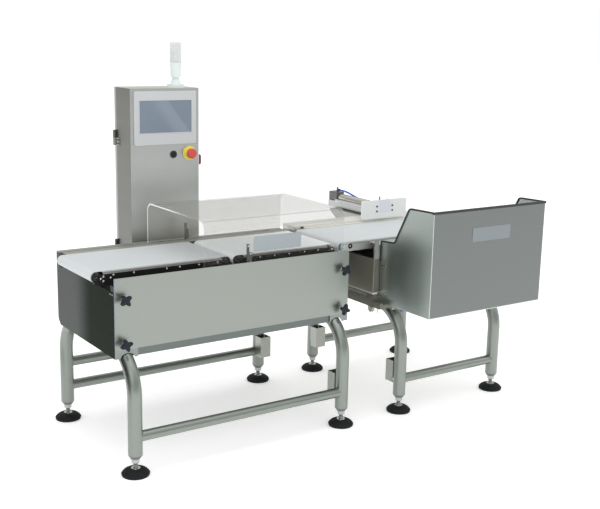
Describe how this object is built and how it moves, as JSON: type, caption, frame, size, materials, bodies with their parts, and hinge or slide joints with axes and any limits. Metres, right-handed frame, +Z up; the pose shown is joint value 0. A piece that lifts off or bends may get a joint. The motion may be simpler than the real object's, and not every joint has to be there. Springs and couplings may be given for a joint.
{
  "type": "checkweigher",
  "caption": "In-line checkweigher on tube stands: infeed, weighing and reject belts, clear cover, air pusher, reject bin, control cabinet with screen and signal light.",
  "frame": {"origin": "on the floor, under the middle of the machine's overall box", "axes": "+X the way the packs travel, +Y from the operator's side with the reject bin towards the cabinet side, +Z up"},
  "size_m": [1.8458, 1.105, 1.469],
  "materials": {
    "tube_steel": "satin stainless tube",
    "sheet_steel": "brushed stainless sheet",
    "cabinet_steel": "brushed stainless sheet, vertical grain",
    "bright_steel": "ground and polished steel",
    "foot_rubber": "black moulded rubber",
    "black_plastic": "black moulded plastic",
    "knob_plastic": "black glass-filled plastic",
    "black_plate": "black anodised plate",
    "aluminium": "milled aluminium",
    "conveyor_belt": "white food-grade belting",
    "black_rubber": "black rubber",
    "motor_paint": "dark grey paint",
    "clear_sheet": "clear acrylic sheet",
    "sensor_grey": "grey paint",
    "white_plastic": "white polyethylene",
    "hose_plastic": "blue polyurethane",
    "control_grey": "grey moulded cases",
    "hmi_grey": "light grey moulded bezel",
    "screen_glass": "glossy dark blue-grey glass",
    "collar_plastic": "yellow and grey plastic",
    "start_plastic": "black plastic",
    "estop_plastic": "red plastic",
    "switch_plastic": "black plastic",
    "switch_knob_plastic": "red plastic",
    "beacon_plastic": "pale moulded plastic",
    "beacon_lens": "clear lens"
  },
  "bodies": {
    "machine": {"stand_hoops": "tube_steel", "stand_rails": "tube_steel", "link_brackets": "sheet_steel", "leg_end_plugs": "black_plastic", "foot_stems": "bright_steel", "foot_pads": "foot_rubber", "base_frame": "sheet_steel", "rear_panels": "sheet_steel", "end_plates": "sheet_steel", "infeed_belt": "conveyor_belt", "weigh_belt": "conveyor_belt", "reject_belt": "conveyor_belt", "infeed_side_plates": "black_plate", "weigh_side_plates": "black_plate", "reject_side_plates": "sheet_steel", "slider_beds": "sheet_steel", "drive_motors": "motor_paint", "timing_belts": "black_rubber", "load_cell": "aluminium", "weigh_platform": "aluminium", "photo_eyes": "sensor_grey", "reject_frame": "sheet_steel", "reject_bin": "sheet_steel", "bin_edge_trim": "black_rubber", "pusher_bracket": "sheet_steel", "pusher_base": "aluminium", "pusher_cylinder": "aluminium", "air_hose": "hose_plastic", "cabinet_shell": "cabinet_steel", "cabinet_hinges": "bright_steel", "cabinet_bracket": "sheet_steel", "control_backplate": "control_grey", "hmi_housing": "hmi_grey", "hmi_screen": "screen_glass", "button_collars": "collar_plastic", "switch_base": "switch_plastic", "beacon_base": "beacon_plastic", "beacon_lens": "beacon_lens"},
    "front_panel": {"front_panel": "sheet_steel"},
    "star_knob_1": {"star_knob_1": "knob_plastic"},
    "star_knob_2": {"star_knob_2": "knob_plastic"},
    "star_knob_3": {"star_knob_3": "knob_plastic"},
    "star_knob_4": {"star_knob_4": "knob_plastic"},
    "cover": {"draft_cover": "clear_sheet"},
    "pusher": {"pusher_rods": "bright_steel", "pusher_plate": "white_plastic"},
    "door": {"cabinet_door": "cabinet_steel"},
    "door_lock": {"door_lock": "bright_steel"},
    "start_button": {"start_button": "start_plastic"},
    "estop_head": {"estop_head": "estop_plastic"},
    "switch_knob": {"switch_knob": "switch_knob_plastic"},
    "infeed_drive": {"infeed_drive_roller": "bright_steel"},
    "infeed_tail": {"infeed_tail_roller": "bright_steel"},
    "infeed_motor": {"infeed_motor_pulley": "aluminium"},
    "weigh_drive": {"weigh_drive_roller": "bright_steel"},
    "weigh_tail": {"weigh_tail_roller": "bright_steel"},
    "weigh_motor": {"weigh_motor_pulley": "aluminium"},
    "reject_drive": {"reject_drive_roller": "bright_steel"},
    "reject_tail": {"reject_tail_roller": "bright_steel"},
    "reject_motor": {"reject_motor_pulley": "aluminium"}
  },
  "joints": [
    {"name": "front_panel_pull", "type": "slide", "parent": "machine", "child": "front_panel", "axis": [0, -1, 0], "range_m": [0, 0.15]},
    {"name": "star_knob_1_turn", "type": "hinge", "parent": "front_panel", "child": "star_knob_1", "pos_m": [-0.8525, -0.2575, 0.621], "axis": [0, 1, 0], "continuous": true},
    {"name": "star_knob_2_turn", "type": "hinge", "parent": "front_panel", "child": "star_knob_2", "pos_m": [0.0715, -0.2575, 0.621], "axis": [0, 1, 0], "continuous": true},
    {"name": "star_knob_3_turn", "type": "hinge", "parent": "front_panel", "child": "star_knob_3", "pos_m": [-0.8525, -0.2575, 0.464], "axis": [0, 1, 0], "continuous": true},
    {"name": "star_knob_4_turn", "type": "hinge", "parent": "front_panel", "child": "star_knob_4", "pos_m": [0.0715, -0.2575, 0.464], "axis": [0, 1, 0], "continuous": true},
    {"name": "infeed_drive_spin", "type": "hinge", "parent": "machine", "child": "infeed_drive", "pos_m": [-0.3878, 0.0035, 0.6802], "axis": [0, 1, 0], "continuous": true},
    {"name": "infeed_tail_spin", "type": "hinge", "parent": "machine", "child": "infeed_tail", "pos_m": [-0.9032, 0.0035, 0.6802], "axis": [0, 1, 0], "continuous": true},
    {"name": "infeed_motor_spin", "type": "hinge", "parent": "machine", "child": "infeed_motor", "pos_m": [-0.4478, 0.0035, 0.5942], "axis": [0, 1, 0], "continuous": true},
    {"name": "weigh_drive_spin", "type": "hinge", "parent": "machine", "child": "weigh_drive", "pos_m": [0.0902, 0.0035, 0.6802], "axis": [0, 1, 0], "continuous": true},
    {"name": "weigh_tail_spin", "type": "hinge", "parent": "machine", "child": "weigh_tail", "pos_m": [-0.3402, 0.0035, 0.6802], "axis": [0, 1, 0], "continuous": true},
    {"name": "weigh_motor_spin", "type": "hinge", "parent": "machine", "child": "weigh_motor", "pos_m": [0.0302, 0.0035, 0.5942], "axis": [0, 1, 0], "continuous": true},
    {"name": "reject_drive_spin", "type": "hinge", "parent": "machine", "child": "reject_drive", "pos_m": [0.9032, 0.0035, 0.6802], "axis": [0, 1, 0], "continuous": true},
    {"name": "reject_tail_spin", "type": "hinge", "parent": "machine", "child": "reject_tail", "pos_m": [0.1478, 0.0035, 0.6802], "axis": [0, 1, 0], "continuous": true},
    {"name": "reject_motor_spin", "type": "hinge", "parent": "machine", "child": "reject_motor", "pos_m": [0.8432, 0.0035, 0.5942], "axis": [0, 1, 0], "continuous": true},
    {"name": "cover_lift", "type": "slide", "parent": "machine", "child": "cover", "axis": [0, 0, 1], "range_m": [0, 0.25]},
    {"name": "pusher_stroke", "type": "slide", "parent": "machine", "child": "pusher", "axis": [0, -1, 0], "range_m": [0, 0.25]},
    {"name": "door_swing", "type": "hinge", "parent": "machine", "child": "door", "pos_m": [-0.567, 0.428, 0.8715], "axis": [0, 0, 1], "range_deg": [0, 120]},
    {"name": "door_lock_turn", "type": "hinge", "parent": "door", "child": "door_lock", "pos_m": [-0.286, 0.428, 0.87], "axis": [0, 1, 0], "range_deg": [0, 90]},
    {"name": "start_button_press", "type": "slide", "parent": "machine", "child": "start_button", "axis": [0, 1, 0], "range_m": [0, 0.004], "stiffness_N_per_m": 600},
    {"name": "estop_press", "type": "slide", "parent": "machine", "child": "estop_head", "axis": [0, 1, 0], "range_m": [0, 0.005]},
    {"name": "switch_turn", "type": "hinge", "parent": "machine", "child": "switch_knob", "pos_m": [-0.25, 0.3625, 0.996], "axis": [1, 0, 0], "range_deg": [0, 90]}
  ],
  "couplings": [
    {"joint": "infeed_tail_spin", "follows": "infeed_drive_spin", "ratio": 1},
    {"joint": "infeed_motor_spin", "follows": "infeed_drive_spin", "ratio": 1},
    {"joint": "weigh_tail_spin", "follows": "weigh_drive_spin", "ratio": 1},
    {"joint": "weigh_motor_spin", "follows": "weigh_drive_spin", "ratio": 1},
    {"joint": "reject_tail_spin", "follows": "reject_drive_spin", "ratio": 1},
    {"joint": "reject_motor_spin", "follows": "reject_drive_spin", "ratio": 1}
  ]
}
